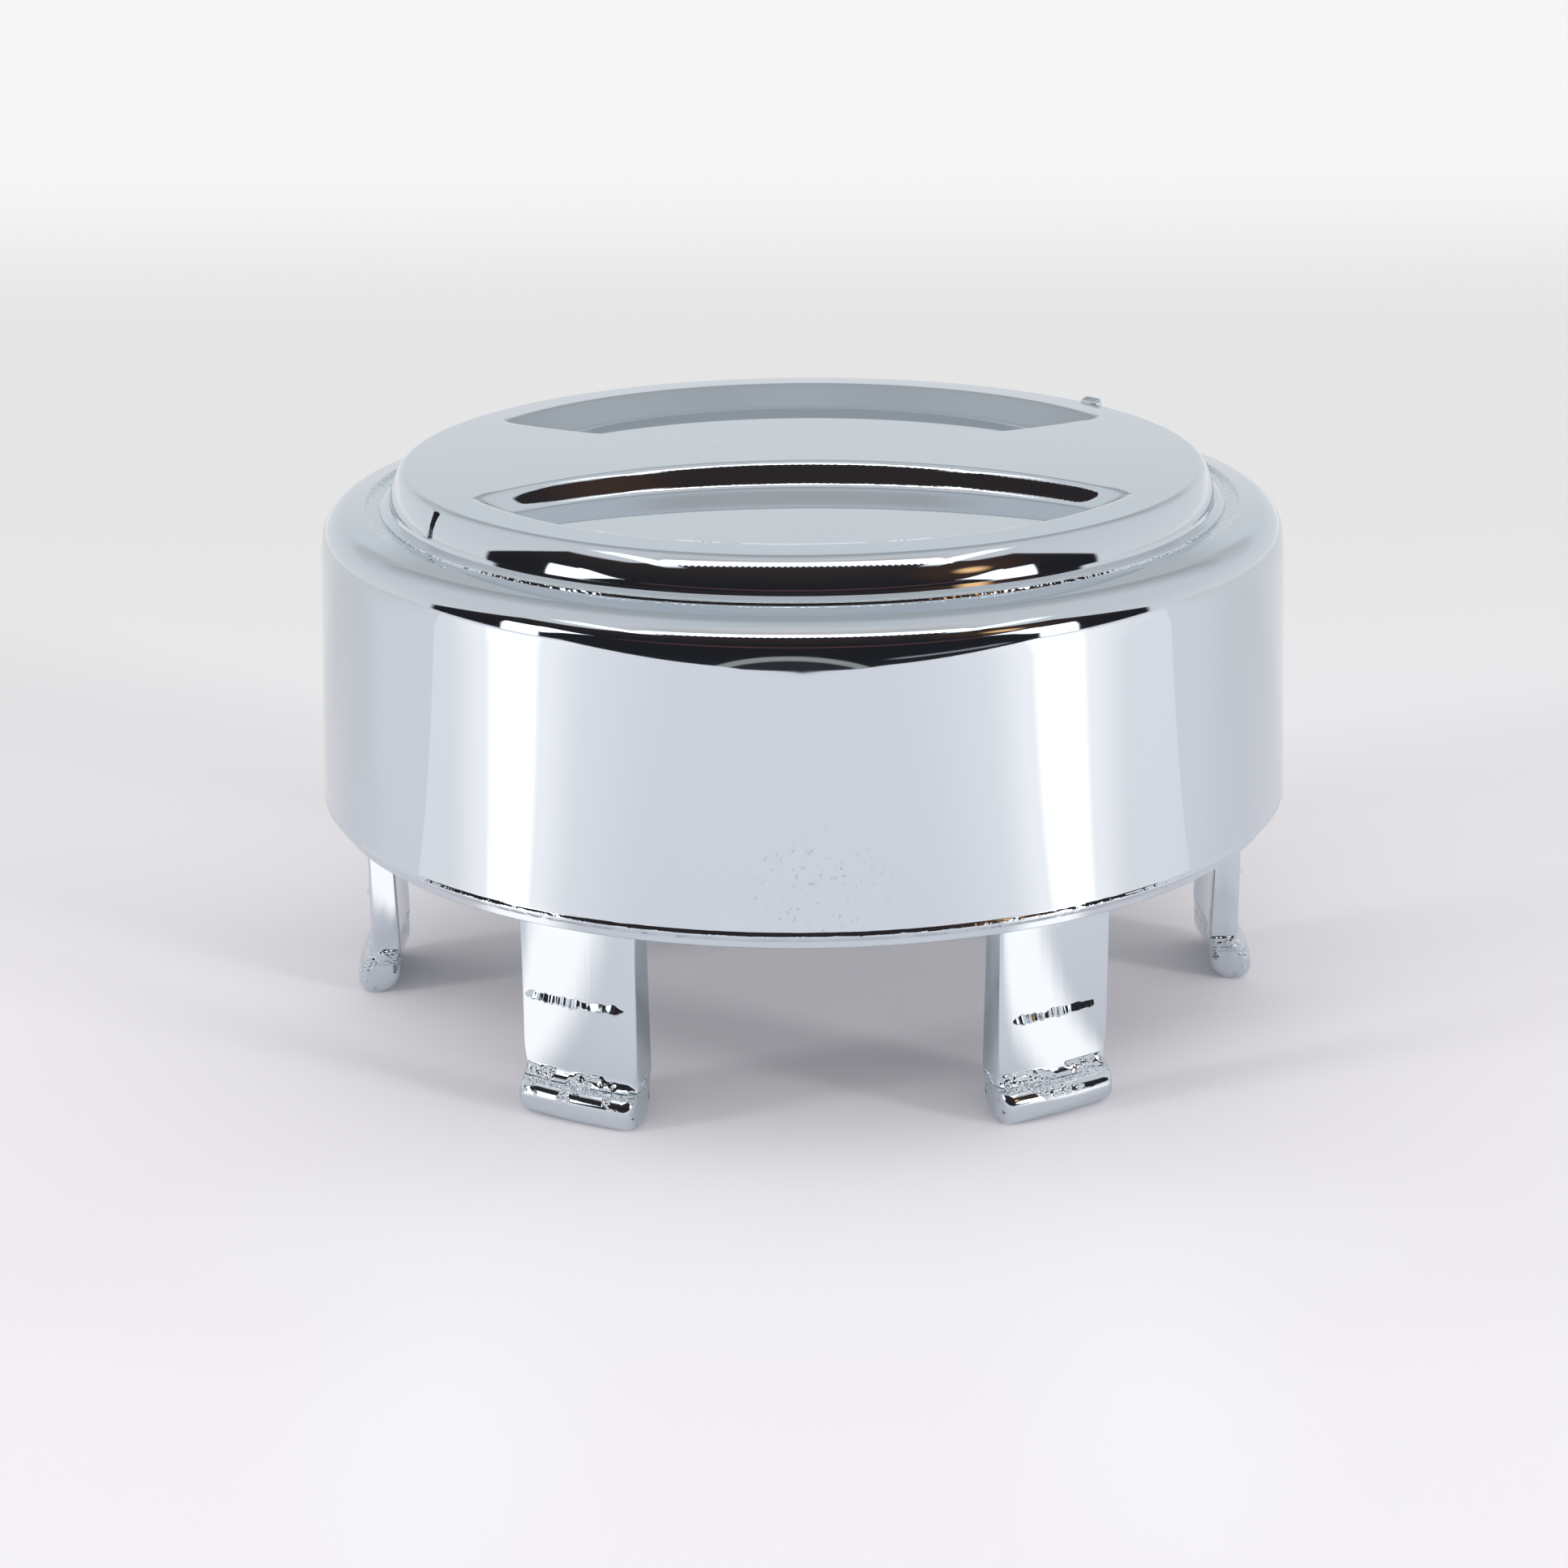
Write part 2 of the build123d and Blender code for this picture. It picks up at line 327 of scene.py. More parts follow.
def column_rows(x, reach):
    """Where a column of the face's mesh has its points: closer together on the pockets' sides."""
    fine = 24 * FACE_ROWS
    total = [0.0]
    centre = BAR_SIDE_RADIUS + BAR_HALF_WAIST
    bar_at = centre - math.sqrt(max(BAR_SIDE_RADIUS ** 2 - x * x, 0.0)) - BAR_IN
    bank_at = math.sqrt(max((DISH_RADIUS + BANK_OUT) ** 2 - x * x, 0.0))
    for k in range(1, fine + 1):
        y = reach * (k - 0.5) / fine
        weight = 1 + BAR_CROWD * math.exp(-((y - bar_at) / BAR_SPREAD) ** 2)
        weight += BANK_CROWD * math.exp(-((y - bank_at) / BANK_SPREAD) ** 2)
        total.append(total[-1] + weight)
    rows = []
    k = 0
    for n in range(FACE_ROWS + 1):
        goal = total[-1] * n / FACE_ROWS
        while total[k] < goal and k < fine:
            k += 1
        rows.append(reach * k / fine)
    return rows


def face_skin(bm, rim):
    """The face inside its rim, in columns that run front to back between the rim's own points."""
    quarter = TURN // 4
    columns = []
    for i in range(-quarter, quarter + 1):
        near = rim[i % TURN]
        far = rim[(TURN // 2 - i) % TURN]
        if abs(i) == quarter:
            columns.append([near])
            continue
        x, reach = near.co.x / MM, -near.co.y / MM
        rows = column_rows(x, reach)
        ys = [-y for y in rows[::-1]] + rows[1:]
        column = [near]
        for y in ys[1:-1]:
            spot = Vector((x, y, face_z(x, y) + LIP_Z)) * MM
            column.append(bm.verts.new(spot))
        column.append(far)
        columns.append(column)
    for a, b in zip(columns, columns[1:]):
        if len(a) == 1:
            for p, q in zip(b, b[1:]):
                bm.faces.new((a[0], p, q))
        elif len(b) == 1:
            for p, q in zip(a, a[1:]):
                bm.faces.new((p, b[0], q))
        else:
            for p, q, r, s in zip(a, b, b[1:], a[1:]):
                bm.faces.new((p, q, r, s))


BOSS_EDGE, BOSS_RIM, BOSS_ROOT = 0.3, 1.2, 0.2    # its chamfer, the flat inside it, its root


def lens_boss(bm, sign):
    """Underside of a pocket's floor: a lens-shaped plate that hangs in the core."""
    centre = BAR_SIDE_RADIUS + BAR_HALF_WAIST
    bite = BAR_SIDE_RADIUS + WALL
    meet_y = (centre ** 2 + CORE_INNER ** 2 - bite ** 2) / (2 * centre)
    meet_x = math.sqrt(CORE_INNER ** 2 - meet_y ** 2)
    steps = 48           # along each of the lens's two arcs
    outline = []
    for k in range(steps + 1):
        x = -meet_x + 2 * meet_x * k / steps
        outline.append((x, math.sqrt(CORE_INNER ** 2 - x * x)))
    for k in range(1, steps):
        x = meet_x - 2 * meet_x * k / steps
        outline.append((x, centre - math.sqrt(bite ** 2 - x * x)))
    low, high = POCKET_FLOOR - WALL, FACE_HEIGHT - WALL + BOSS_ROOT
    rings = []
    for inset, height in ((BOSS_RIM, low), (BOSS_EDGE, low), (0.0, low + BOSS_EDGE), (0.0, high)):
        ring = []
        for x, y in outline:
            pull = 1 - inset / CORE_INNER
            spot = Vector((x * pull, (meet_y + (y - meet_y) * pull) * sign, height + LIP_Z)) * MM
            ring.append(bm.verts.new(spot))
        rings.append(ring)
    for a, b in zip(rings, rings[1:]):
        skin(bm, a, b)
    bm.faces.new(rings[0])
    bm.faces.new(rings[-1])


def make_piece(name, bm, material):
    """Turns the finished bmesh into a smooth piece that rides on the cap's body."""
    bmesh.ops.recalc_face_normals(bm, faces=bm.faces)
    mesh = bpy.data.meshes.new(name)
    bm.to_mesh(mesh)
    bm.free()
    mesh.shade_smooth()
    mesh.materials.append(material)
    piece = bpy.data.objects.new(name, mesh)
    bpy.context.scene.collection.objects.link(piece)
    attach(piece, "root")
    return piece


def make_cup(material):
    """The cup with its crowned face, its inside and the undersides of the two pockets."""
    bm = bmesh.new()
    outer, inner, ceiling = cup_outlines()
    rings = [ring_of(bm, r, z) for r, z in outer]
    for a, b in zip(rings, rings[1:]):
        skin(bm, a, b)
    face_skin(bm, rings[-1])
    inside = [rings[0]] + [ring_of(bm, r, z) for r, z in inner]
    for a, b in zip(inside, inside[1:]):
        skin(bm, a, b)
    bm.faces.new(inside[-1])
    for sign in (-1, 1):
        lens_boss(bm, sign)
    return make_piece("cup", bm, material), ceiling


# Clip legs
LEG_END_ROUND, HOOK_END_ROUND = 0.28, 0.9    # of the side edges, up the leg and at its hook
LEG_END_STEPS = 6                            # steps round such an edge
LEG_ROWS = 24                                # rows of points across a leg's face
LEG_STRETCH = 1.2                            # the longest stretch between its section's points
LEG_ROOT, RIB_ROOT = 0.4, 0.3                # how far legs and ribs run into the cup's ceiling
HOOK_END_LOW, HOOK_END_HIGH = 4.2, 5.6       # where the side edges' round grows to the hook's
ROOT_ROUND, HOOK_FOOT_ROUND, HOOK_CREST_ROUND = 0.4, 1.8, 2.4
TIP_ROUND, TIP_INNER_ROUND = 1.5, 2.7
SWELL_Z, SWELL_ROUND = 5.4, 3.0              # the tip's swelling on the inside
WEB_OFFSET, WEB_HALF_WIDTH, WEB_HEIGHT = 3.8, 0.7, 14.0
WEB_OUT, WEB_IN = 47.3, 45.5
GUSSET_HALF_WIDTH, GUSSET_HEIGHT = 0.9, 19.0
GUSSET_FRONT, GUSSET_TIP, GUSSET_ROOT = 43.8, 43.5, 39.8
RIB_EDGE = 0.18


def leg_section(top_z):
    """The leg's closed section as (radius, height over the floor) with its outward normals."""
    points = rounded([
        (LEG_INNER, top_z, ROOT_ROUND),
        (LEG_FACE, top_z, ROOT_ROUND),
        (LEG_FACE, HOOK_HEIGHT, HOOK_FOOT_ROUND),
        (HOOK_CREST, HOOK_CREST_Z, HOOK_CREST_ROUND),
        (HOOK_CREST, 0.0, TIP_ROUND),
        (TIP_INNER, 0.0, TIP_INNER_ROUND),
        (TIP_INNER, SWELL_Z, SWELL_ROUND),
        (LEG_INNER, LIP_Z, SWELL_ROUND),
    ], 8, closed=True)
    spaced = []
    for a, b in zip(points, points[1:] + points[:1]):
        pieces = max(1, round(math.dist(a, b) / LEG_STRETCH))
        spaced += between(a, b, [k / pieces for k in range(pieces)])
    area = sum(a[0] * b[1] - b[0] * a[1] for a, b in zip(spaced, spaced[1:] + spaced[:1]))
    turn = -math.copysign(1.0, area)
    normals = []
    for before, after in zip(spaced[-1:] + spaced[:-1], spaced[1:] + spaced[:1]):
        run = Vector((after[0] - before[0], after[1] - before[1])).normalized()
        normals.append(Vector((-run.y, run.x)) * turn)
    return spaced, normals


def leg_point(radius, height, across, angle):
    """A point on the leg at this angle, from its place in the section and across the width."""
    spot = Vector((across, -math.sqrt(radius ** 2 - across ** 2), height)) * MM
    return Matrix.Rotation(math.radians(angle), 3, "Z") @ spot


def make_leg(number, angle, ceiling, material):
    """One clip leg with its hook, ribs and witness ridge, its section swept across its width."""
    bm = bmesh.new()
    section, normals = leg_section(LIP_Z + ceiling + LEG_ROOT)
    half = LEG_WIDTH / 2
    # Stations: a side and a step round its edge, or nought and a share of the width between
    stations = [(-1, step) for step in range(LEG_END_STEPS + 1)]
    stations += [(0, k / LEG_ROWS * 2 - 1) for k in range(1, LEG_ROWS)]
    stations += [(1, step) for step in range(LEG_END_STEPS, -1, -1)]
    rings = []
    for where, step in stations:
        ring = []
        for (r, z), n in zip(section, normals):
            hooked = eased(z, HOOK_END_HIGH, HOOK_END_LOW)
            end_round = LEG_END_ROUND + (HOOK_END_ROUND - LEG_END_ROUND) * hooked
            if where:
                a = math.radians(90 / LEG_END_STEPS * step)
                across = where * (half - end_round + end_round * math.cos(a))
                inset = end_round * (1 - math.sin(a))
            else:
                across = step * (half - HOOK_END_ROUND)
                inset = 0.0
            ring.append(bm.verts.new(
                leg_point(r - n.x * inset, max(z - n.y * inset, 0.0), across, angle)))
        rings.append(ring)
    for a, b in zip(rings, rings[1:]):
        skin(bm, a, b)
    bm.faces.new(rings[0])
    bm.faces.new(rings[-1])
    add_ribs(bm, angle, ceiling)
    add_witness_ridge(bm, number, angle)
    return make_piece("clip_leg_%d" % number, bm, material)


def add_block(bm, corners):
    """A closed six-sided block from its four lower and four upper corners, edges eased."""
    verts = [bm.verts.new(c) for c in corners]
    sides = [(0, 1, 2, 3), (4, 5, 6, 7), (0, 1, 5, 4), (1, 2, 6, 5), (2, 3, 7, 6), (3, 0, 4, 7)]
    faces = [bm.faces.new([verts[i] for i in s]) for s in sides]
    edges = list(dict.fromkeys(e for f in faces for e in f.edges))
    bmesh.ops.bevel(bm, geom=edges, offset=RIB_EDGE * MM, segments=3, affect="EDGES", profile=0.5)


def add_ribs(bm, angle, ceiling):
    """Two webs from the leg to the skirt and a gusset behind it."""
    top_z = LIP_Z + ceiling + RIB_ROOT
    spin = Matrix.Rotation(math.radians(angle), 3, "Z")
    web_low, gusset_low = top_z - WEB_HEIGHT, top_z - GUSSET_HEIGHT
    ribs = [(centre, WEB_HALF_WIDTH, WEB_OUT, ((web_low, WEB_IN), (top_z, WEB_IN)))
            for centre in (-WEB_OFFSET, WEB_OFFSET)]
    ribs.append((0.0, GUSSET_HALF_WIDTH, GUSSET_FRONT,
                 ((gusset_low, GUSSET_TIP), (top_z, GUSSET_ROOT))))
    for centre, half, front, levels in ribs:
        corners = []
        for z, back in levels:
            corners += [(centre - half, -front, z), (centre + half, -front, z),
                        (centre + half, -back, z), (centre - half, -back, z)]
        add_block(bm, [spin @ (Vector(c) * MM) for c in corners])


# Ragged ridge that the mould's split leaves across each leg's face: for each leg its height over
# the floor and where it starts and ends, from the leg's middle. Then how tall and proud it is.
WITNESS = {1: (10.4, -5.0, 4.7), 2: (11.6, -4.6, 4.2), 3: (11.0, -4.9, 4.9),
           4: (11.9, -5.2, 3.9), 5: (10.9, -4.4, 5.0), 6: (12.0, -5.9, 5.2)}
WITNESS_HEIGHT, WITNESS_STAND = 0.95, 0.27
WITNESS_STEPS = 220


def add_witness_ridge(bm, number, angle):
    """A bevelled bead: nodules at its left end, then dots, then a solid run to its right end."""
    level, start, end = WITNESS[number]
    rings = []
    for i in range(WITNESS_STEPS + 1):
        t = i / WITNESS_STEPS
        across = start + (end - start) * t
        taper = min(1.0, 12 * t, 12 * (1 - t)) ** 0.5              # nothing at its two ends
        lump = noise.noise(Vector((across * 1.3, number * 7.3, 0.5)))
        bead = 0.5 + 0.5 * math.sin(across * 9.0 + 1.5 * lump)     # one on a dot, nought between
        beaded = eased(t, 0.68, 0.55)                              # one where it is dotted
        stand = WITNESS_STAND * (1 + 0.9 * eased(t, 0.3, 0.1) * (1 + lump))
        stand *= taper * (1 - beaded * (1 - 0.7 * eased(t, 0.45, 0.25)) * (1 - bead ** 0.7))
        tall = WITNESS_HEIGHT / 2 * taper * (1 + 0.5 * lump - 0.25 * beaded * (1 - bead))
        wander = 0.25 * noise.noise(Vector((across * 0.9, 4.0, number * 2.0)))
        section = [(-0.12, tall + 0.05), (0.0, tall), (0.08 * stand, 0.86 * tall),
                   (0.9 * stand, -0.5 * tall), (stand, -0.65 * tall), (stand, -0.85 * tall),
                   (0.4 * stand, -tall), (-0.12, -tall - 0.05)]
        ring = [bm.verts.new(leg_point(LEG_FACE + out, level + wander + up, across, angle))
                for out, up in section]
        rings.append(ring)
    for a, b in zip(rings, rings[1:]):
        skin(bm, a, b)
    bm.faces.new(rings[0])
    bm.faces.new(rings[-1])


# Finishes
PLATING = "#D2DAE1"
SCUFFED = "#9DA1A6"
CUP_ROUGHNESS, LEG_ROUGHNESS = 0.035, 0.07
SCUFF_ROUGHNESS, SCUFF_DULLING = 0.22, 0.4       # what full scuffs add, and how far they dull

# The marks in the plating: the size of one grain and the height it stands, both in millimetres,
# with a height below nought for what is sunk.
SWELL_SIZE, SWELL_HEIGHT = 14.0, 0.008
PEEL_SIZE, PEEL_HEIGHT = 0.9, 0.0003
NODULE_SIZE = 0.45
GROOVE_NODULE_HEIGHT, HOOK_NODULE_HEIGHT = -0.035, 0.10
FLASH_SIZE, FLASH_HEIGHT = 1.6, 0.145
SPECK_SIZE, SPECK_HEIGHT = 0.55, -0.0025
DRAW_LINE_SIZE, DRAW_LINE_HEIGHT = 0.7, 0.011
HOOK_PATCH_SIZE, HOOK_STEP_HEIGHT = 1.9, 0.16
CREST_GRAIN_SIZE, CREST_GRAIN_HEIGHT = 0.3, 0.22

# Where the marks are, in metres from the axis and over the floor
GROOVE_OUT, GROOVE_UP = (0.04285, 0.04455), (0.05145, 0.05215)
SPLIT_UP = (0.02195, 0.02228)
SCUFF_MIDDLE, SCUFF_REACH = (0.0012, -0.0497, 0.0266), (0.0095, 0.05, 0.0080)
HOOK_SLOPE_UP, HOOK_CREST_UP, HOOK_NOSE_UP = (0.0039, 0.0047), (0.0034, 0.0037), (0.0027, 0.0033)


def per_mm(size):
    """A pattern's scale, from the size in millimetres of one of its grains."""
    return 1 / (size * MM)


def chrome_plate(name):
    """Bright nickel and chrome plating on moulded ABS: a hard mirror, faintly blue, that still
    swells and sinks a little with the plastic under it. Gives the shader, a place and a height."""
    material = bpy.data.materials.new(name)
    material.use_nodes = True
    tree = material.node_tree
    shader = tree.nodes["Principled BSDF"]
    shader.inputs["Base Color"].default_value = linear(PLATING)
    shader.inputs["Metallic"].default_value = 1.0
    shader.inputs["Roughness"].default_value = CUP_ROUGHNESS
    place = put(tree, "TexCoord", output="Object")
    swell = put(tree, "TexNoise", {"Vector": place, "Scale": per_mm(SWELL_SIZE), "Detail": 1.0})
    peel = put(tree, "TexNoise", {"Vector": place, "Scale": per_mm(PEEL_SIZE), "Detail": 2.0})
    height = put(tree, "Math", (swell, SWELL_HEIGHT * MM), operation="MULTIPLY")
    height = put(tree, "Math", (peel, PEEL_HEIGHT * MM, height), operation="MULTIPLY_ADD")
    return material, tree, shader, place, height


def set_height(tree, shader, height):
    """Feeds a height in metres to the shader as bump."""
    bump = put(tree, "Bump", {"Height": height, "Distance": 1.0, "Strength": 1.0})
    tree.links.new(bump, shader.inputs["Normal"])


def cup_plating():
    """The cup's skin: near flawless on the wall, with nodules where plating builds up in the
    groove, a ragged flash line where the mould splits, and a patch of scuffs low in front."""
    material, tree, shader, place, height = chrome_plate("cup_chrome_plate")
    flat = put(tree, "VectorMath", (place, (1.0, 1.0, 0.0)), operation="MULTIPLY")
    radius = put(tree, "VectorMath", (flat,), "Value", operation="LENGTH")
    level = put(tree, "SeparateXYZ", (place,), "Z")

    groove = put(tree, "Math", (band(tree, radius, *GROOVE_OUT, 0.0001),
                                band(tree, level, *GROOVE_UP, 0.0001)), operation="MULTIPLY")
    nodules = put(tree, "TexVoronoi", {"Vector": place, "Scale": per_mm(NODULE_SIZE)})
    nodules = put(tree, "Math", (nodules, groove), operation="MULTIPLY")
    height = put(tree, "Math", (nodules, GROOVE_NODULE_HEIGHT * MM, height),
                 operation="MULTIPLY_ADD")

    split = band(tree, level, *SPLIT_UP, 0.0005)
    ragged = put(tree, "TexNoise", {"Vector": place, "Scale": per_mm(FLASH_SIZE), "Detail": 3.0})
    ragged = put(tree, "MapRange", (ragged, 0.25, 0.6, 0.55, 1.0), **SMOOTH)
    flash = put(tree, "Math", (ragged, split), operation="MULTIPLY")
    height = put(tree, "Math", (flash, FLASH_HEIGHT * MM, height), operation="MULTIPLY_ADD")

    patch = out_from(tree, place, SCUFF_MIDDLE, SCUFF_REACH)
    patch = put(tree, "MapRange", (patch, 1.0, 0.35), **SMOOTH)
    specks = put(tree, "TexNoise", {"Vector": place, "Scale": per_mm(SPECK_SIZE),
                                    "Detail": 3.0, "Roughness": 0.7})
    specks = put(tree, "MapRange", (specks, 0.58, 0.68), **SMOOTH)
    scuffs = put(tree, "Math", (patch, specks), operation="MULTIPLY")
    height = put(tree, "Math", (scuffs, SPECK_HEIGHT * MM, height), operation="MULTIPLY_ADD")
    rough = put(tree, "Math", (scuffs, SCUFF_ROUGHNESS, CUP_ROUGHNESS), operation="MULTIPLY_ADD")
    tree.links.new(rough, shader.inputs["Roughness"])
    dulled = put(tree, "Math", (scuffs, SCUFF_DULLING), operation="MULTIPLY")
    colour = laid_over(tree, linear(PLATING), (dulled, linear(SCUFFED)))
    tree.links.new(colour, shader.inputs["Base Color"])
    set_height(tree, shader, height)
    return material


def leg_plating():
    """The legs' skin: the same plating over rougher tooling, with upright draw lines on the faces
    and lumpy nodules on the hooks."""
    material, tree, shader, place, height = chrome_plate("leg_chrome_plate")
    shader.inputs["Roughness"].default_value = LEG_ROUGHNESS
    level = put(tree, "SeparateXYZ", (place,), "Z")
    drawn = put(tree, "VectorMath", (place, (1.0, 1.0, 0.06)), operation="MULTIPLY")
    lines = put(tree, "TexNoise", {"Vector": drawn, "Scale": per_mm(DRAW_LINE_SIZE), "Detail": 3.0})
    height = put(tree, "Math", (lines, DRAW_LINE_HEIGHT * MM, height), operation="MULTIPLY_ADD")

    slope = band(tree, level, *HOOK_SLOPE_UP, 0.0004)      # the hook's upper slope
    crest = band(tree, level, *HOOK_CREST_UP, 0.00015)
    nose = band(tree, level, *HOOK_NOSE_UP, 0.0005)        # and the round under its crest
    patches = put(tree, "TexNoise", {"Vector": place, "Scale": per_mm(HOOK_PATCH_SIZE),
                                     "Detail": 1.0})
    clusters = put(tree, "MapRange", (patches, 0.48, 0.56), **SMOOTH)
    either = put(tree, "Math", (slope, nose), operation="MAXIMUM")
    clusters = put(tree, "Math", (clusters, either), operation="MULTIPLY")
    nodules = put(tree, "TexVoronoi", {"Vector": place, "Scale": per_mm(NODULE_SIZE)})
    nodules = put(tree, "MapRange", (nodules, 0.75, 0.15), **SMOOTH)
    nodules = put(tree, "Math", (nodules, clusters), operation="MULTIPLY")
    height = put(tree, "Math", (nodules, HOOK_NODULE_HEIGHT * MM, height),
                 operation="MULTIPLY_ADD")

    steps = put(tree, "MapRange", (patches, 0.40, 0.58), **SMOOTH)
    steps = put(tree, "Math", (steps, slope), operation="MULTIPLY")
    height = put(tree, "Math", (steps, HOOK_STEP_HEIGHT * MM, height), operation="MULTIPLY_ADD")
    grain = put(tree, "TexNoise", {"Vector": place, "Scale": per_mm(CREST_GRAIN_SIZE),
                                   "Detail": 1.0})
    grain = put(tree, "Math", (grain, crest), operation="MULTIPLY")
    height = put(tree, "Math", (grain, CREST_GRAIN_HEIGHT * MM, height), operation="MULTIPLY_ADD")
    set_height(tree, shader, height)
    return material


cup, ceiling_height = make_cup(cup_plating())
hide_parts("cap")          # the cup and its legs stand for the one moulded solid
leg_finish = leg_plating()
for leg_number, leg_angle in enumerate(LEG_ANGLES, 1):
    make_leg(leg_number, leg_angle, ceiling_height, leg_finish)


# Moulding nibs
NIB_EDGE = 0.22


def make_nib(name, angle, radius, height, length, width, stand, lean):
    """A small flat-faced stub of plastic left where the mould was fed."""
    bm = bmesh.new()
    bmesh.ops.create_cube(bm, size=1.0)
    for v in bm.verts:
        v.co = Vector((v.co.x * width, v.co.y * stand, v.co.z * length))
    bmesh.ops.bevel(bm, geom=list(bm.edges), offset=NIB_EDGE, segments=5, affect="EDGES",
                    profile=0.5)
    place = (Matrix.Rotation(math.radians(angle), 4, "Z")
             @ Matrix.Translation((0, -radius, height + LIP_Z))
             @ Matrix.Rotation(math.radians(lean), 4, "X"))
    bm.transform(Matrix.Scale(MM, 4) @ place)
    return make_piece(name, bm, cup.data.materials[0])


make_nib("feed_nib_left", angle=-59.5, radius=41.45, height=33.4,
         length=3.0, width=1.3, stand=0.8, lean=-20.0)
make_nib("feed_nib_right", angle=129.0, radius=41.0, height=34.5,
         length=1.9, width=2.3, stand=1.1, lean=-22.0)


# Floor
FLOOR_REACH = 6.0

# How far behind the axis each change of its colour starts and ends, in metres, and how far from
# the axis the last one does. Then the middle and reach of its soft patches of painted glow.
BEHIND, SWEEP_TOP, IN_FRONT = (-0.06, 0.25), (0.35, 0.60), (-0.072, -0.096)
FAR_OUT = (1.5, 3.5)
CAP_PAINTED_GLOW, CAP_PAINTED_GLOW_REACH = (0.0, -0.067, 0.0), (0.070, 0.030, 1.0)
BEAM_PAINTED_GLOWS, BEAM_PAINTED_GLOW_REACH = ((-0.029, -0.098, 0.0), (0.028, -0.094, 0.0)), (0.018, 0.045, 1.0)


def vinyl_floor():
    """White vinyl sweep, matt and soft. The pale glow that the bright wall throws on it is painted
    into its colour.
    """
    material = bpy.data.materials.new("white_vinyl_sweep")
    material.use_nodes = True
    tree = material.node_tree
    shader = tree.nodes["Principled BSDF"]
    shader.inputs["Roughness"].default_value = 0.6
    shader.inputs["Specular IOR Level"].default_value = 0.0
    place = put(tree, "TexCoord", output="Object")
    depth = put(tree, "SeparateXYZ", (place,), "Y")
    behind = put(tree, "MapRange", (depth, *BEHIND), **SMOOTH)
    sweep_top = put(tree, "MapRange", (depth, *SWEEP_TOP), **SMOOTH)
    in_front = put(tree, "MapRange", (depth, *IN_FRONT), **SMOOTH)
    # Painted glow: the floor's colour is made paler in front of the cap and under the lamps' beams,
    # standing in for the light thrown there.
    painted_glow_by_cap = out_from(tree, place, CAP_PAINTED_GLOW, CAP_PAINTED_GLOW_REACH)
    painted_glow_by_cap = put(tree, "MapRange", (painted_glow_by_cap, 1.0, 0.3, 0.0, 0.5), **SMOOTH)
    beams = 0.0
    for centre in BEAM_PAINTED_GLOWS:
        glow = out_from(tree, place, centre, BEAM_PAINTED_GLOW_REACH)
        glow = put(tree, "MapRange", (glow, 1.0, 0.0, 0.0, 0.7), **SMOOTH)
        beams = put(tree, "Math", (beams, glow), operation="ADD")
    far_out = put(tree, "VectorMath", (place,), "Value", operation="LENGTH")
    far_out = put(tree, "MapRange", (far_out, *FAR_OUT), **SMOOTH)
    colour = laid_over(tree, linear("#F4F1F5"),
                       (behind, linear("#E5E5E5")),
                       (sweep_top, linear("#F5F5F5")),
                       (in_front, linear("#F8F5F9")),
                       (painted_glow_by_cap, linear("#FFFEFF")),
                       (beams, linear("#FCFBFF")),
                       (far_out, linear("#E6E6E7")))
    tree.links.new(colour, shader.inputs["Base Color"])
    return material


def show_to_plating_only(obj):
    """Hides a stage piece from every ray but the ones that the plating throws."""
    obj.visible_camera = False
    obj.visible_diffuse = False
    obj.visible_transmission = False
    obj.visible_volume_scatter = False
    obj.visible_shadow = False


def add_stage(name, mesh, material):
    """Puts a piece of the studio round the cap."""
    mesh.materials.append(material)
    obj = bpy.data.objects.new(name, mesh)
    bpy.context.scene.collection.objects.link(obj)
    return obj


def card(name, corners, height, material):
    """A flat card of the studio, from its corners and its height over the floor."""
    mesh = bpy.data.meshes.new(name)
    mesh.from_pydata([(x, y, height) for x, y in corners], [], [tuple(range(len(corners)))])
    return add_stage(name, mesh, material)


card("floor", [(-FLOOR_REACH, -FLOOR_REACH), (FLOOR_REACH, -FLOOR_REACH),
               (FLOOR_REACH, FLOOR_REACH), (-FLOOR_REACH, FLOOR_REACH)], 0.0, vinyl_floor())


# What the plating mirrors
TENT_CENTRE = (0.0, 0.0, 0.048)      # on the axis, about level with the top of the wall
TENT_RADIUS = 2.5
WALL_FRONT = (0.0, -0.0487, 0.0475)  # the front of the wall's top, which mirrors the table

# The tent's walls: their colours from level (0) to straight up (1) at its sides, at its back, and
# in front over the lit bar, and where the sides turn to the other two, in degrees from ahead.
SIDE_WALLS = [(0.0, "#EFEFF1"), (0.3, "#E6E6E8"), (0.65, "#E3E2E3"), (1.0, "#D4D7D9")]
BACK_WALL = [(0.0, "#ECECED"), (0.205, "#DEE2E5"), (0.25, "#C8CBCD"), (0.31, "#C6C9CB"),
             (0.345, "#AEB2B5"), (0.5, "#B8BBBE"), (0.7, "#B7BABD"), (0.85, "#CDD0D1"),
             (1.0, "#D4D7D9")]
FRONT_WALL = [(0.0, "#EFEFF1"), (0.58, "#D2CECB"), (0.65, "#DCD7D3"), (0.76, "#E7E5E4"),
              (0.88, "#E2E0DE"), (1.0, "#D4D7D9")]
SIDE_TO_BACK, SIDE_TO_FRONT = (115.0, 168.0), (60.0, 35.0)

# The lit bar: its edges, as rise over run straight ahead, its half width in degrees, and how
# close and how deep its beads are.
BAR_LOW, BAR_HIGH, BAR_WIDE = 0.885, 1.19, 43.0
BEAD_RATE, BEAD_DEPTH = 3.4, 0.03

